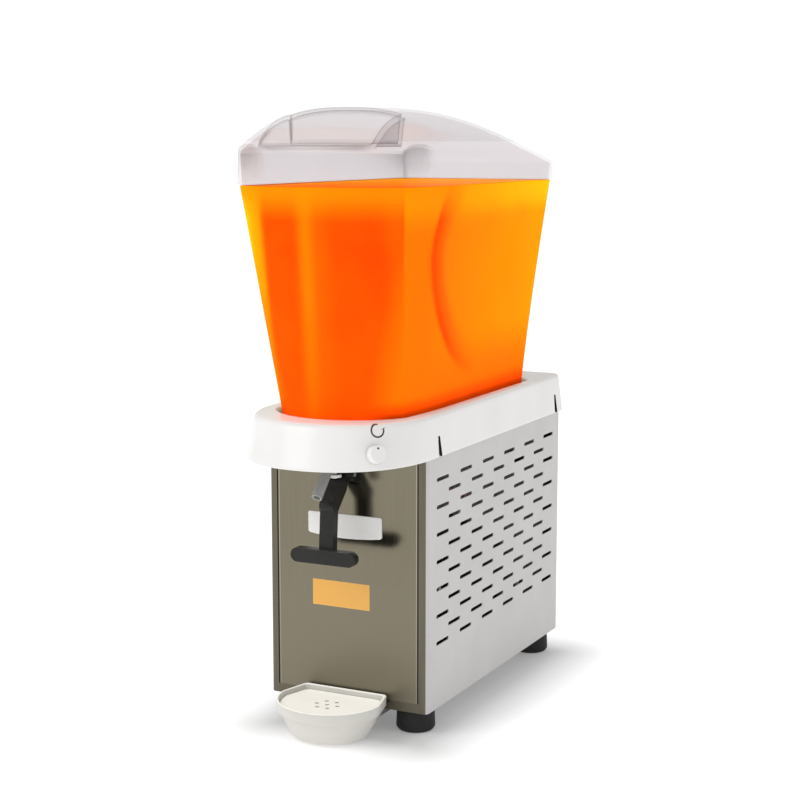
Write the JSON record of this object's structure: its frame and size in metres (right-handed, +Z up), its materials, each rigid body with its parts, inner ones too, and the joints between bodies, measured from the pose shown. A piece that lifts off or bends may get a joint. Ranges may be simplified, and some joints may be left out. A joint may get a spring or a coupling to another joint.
{
  "type": "juice dispenser",
  "caption": "Chilled juice dispenser: clear flared bowl with a domed lid on a slotted steel cabinet, a lever tap under a bowed white cover, and a half-moon drip tray.",
  "frame": {"origin": "on the floor under the middle of the whole dispenser", "axes": "+Z up, -Y towards the person at the tap, +X to that person's right"},
  "size_m": [0.219, 0.527, 0.701],
  "materials": {
    "stainless": "brushed",
    "panel_grey": "satin",
    "zinc": "zinc plated",
    "white_plastic": "satin",
    "ivory_plastic": "satin",
    "black_plastic": "matte",
    "grey_plastic": "satin",
    "red_plastic": "gloss",
    "black_rubber": "matte",
    "clear_bowl": "clear",
    "clear_lid": "clear",
    "dome_steel": "polished",
    "copper": "bare",
    "foam": "foam",
    "machine_black": "satin",
    "fin_metal": "bare"
  },
  "bodies": {
    "cabinet": {"base_pan": "stainless", "frame_posts": "zinc", "feet": "black_rubber", "foot_bolts": "zinc", "foot_nuts": "zinc", "front_panel": "stainless", "left_panel": "panel_grey", "right_panel": "panel_grey", "rear_panel": "panel_grey", "rear_screws": "zinc", "roof_deck": "zinc", "insulation_pad": "foam", "top_cover": "white_plastic", "thermostat": "black_plastic", "evaporator": "dome_steel", "evaporator_coil": "copper", "dome_gasket": "black_rubber", "stirrer_pin": "zinc", "stirrer_motor": "machine_black", "valve_body": "black_plastic", "outlet_spout": "grey_plastic", "valve_spring": "zinc", "neck_seal": "black_rubber", "lever_bracket": "black_plastic", "lever_pin": "zinc", "tray_guides": "grey_plastic", "compressor": "machine_black", "compressor_mounts": "black_rubber", "condenser": "fin_metal", "fan_shroud": "black_plastic", "fan_motor": "machine_black", "motor_stand": "zinc", "filter_drier": "copper", "discharge_line": "copper", "condenser_line": "copper", "capillary_line": "copper", "suction_line": "copper", "wiring_box": "white_plastic", "switch_housing": "black_plastic", "cable_inlet": "black_plastic"},
    "lid": {"lid": "clear_lid"},
    "bowl": {"bowl": "clear_bowl"},
    "lever": {"tap_lever": "black_plastic"},
    "valve": {"plunger": "white_plastic", "plunger_seal": "black_rubber"},
    "knob": {"control_knob": "white_plastic"},
    "fan": {"fan": "black_plastic"},
    "drive": {"drive_rotor": "zinc", "drive_magnets": "machine_black"},
    "stirrer": {"stirrer": "white_plastic"},
    "tray": {"drip_tray": "ivory_plastic", "drip_plate": "ivory_plastic"},
    "rocker": {"switch_rocker": "red_plastic"}
  },
  "joints": [
    {"name": "lid_lift", "type": "slide", "parent": "bowl", "child": "lid", "axis": [0, 0, 1], "range_m": [0, 0.15]},
    {"name": "bowl_lift", "type": "slide", "parent": "cabinet", "child": "bowl", "axis": [0, 0, 1], "range_m": [0, 0.15]},
    {"name": "lever_press", "type": "hinge", "parent": "cabinet", "child": "lever", "pos_m": [0, -0.154, 0.296], "axis": [1, 0, 0], "range_deg": [0, 20], "stiffness_Nm_per_rad": 0.3, "springref_deg": -20.05},
    {"name": "plunger_drop", "type": "slide", "parent": "cabinet", "child": "valve", "axis": [0, 0, -1], "range_m": [0, 0.0069], "deforming": ["valve_spring"]},
    {"name": "knob_turn", "type": "hinge", "parent": "cabinet", "child": "knob", "pos_m": [0.07688, -0.22371, 0.335], "axis": [0.7337, -0.6366, 0.2376], "range_deg": [-270, 0]},
    {"name": "fan_spin", "type": "hinge", "parent": "cabinet", "child": "fan", "pos_m": [0, 0, 0.1222], "axis": [0, 1, 0], "continuous": true},
    {"name": "drive_spin", "type": "hinge", "parent": "cabinet", "child": "drive", "pos_m": [0, 0.0255, 0.4], "axis": [0, 0, 1], "continuous": true},
    {"name": "stirrer_spin", "type": "hinge", "parent": "cabinet", "child": "stirrer", "pos_m": [0, 0.0255, 0.43], "axis": [0, 0, 1], "continuous": true},
    {"name": "tray_slide", "type": "slide", "parent": "cabinet", "child": "tray", "axis": [0, -1, 0], "range_m": [0, 0.07]},
    {"name": "rocker_tilt", "type": "hinge", "parent": "cabinet", "child": "rocker", "pos_m": [0.045, 0.2555, 0.25], "axis": [1, 0, 0], "range_deg": [-14, 0]}
  ],
  "couplings": [
    {"joint": "plunger_drop", "follows": "lever_press", "m_per_rad": 0.019336},
    {"joint": "stirrer_spin", "follows": "drive_spin", "ratio": 1}
  ]
}
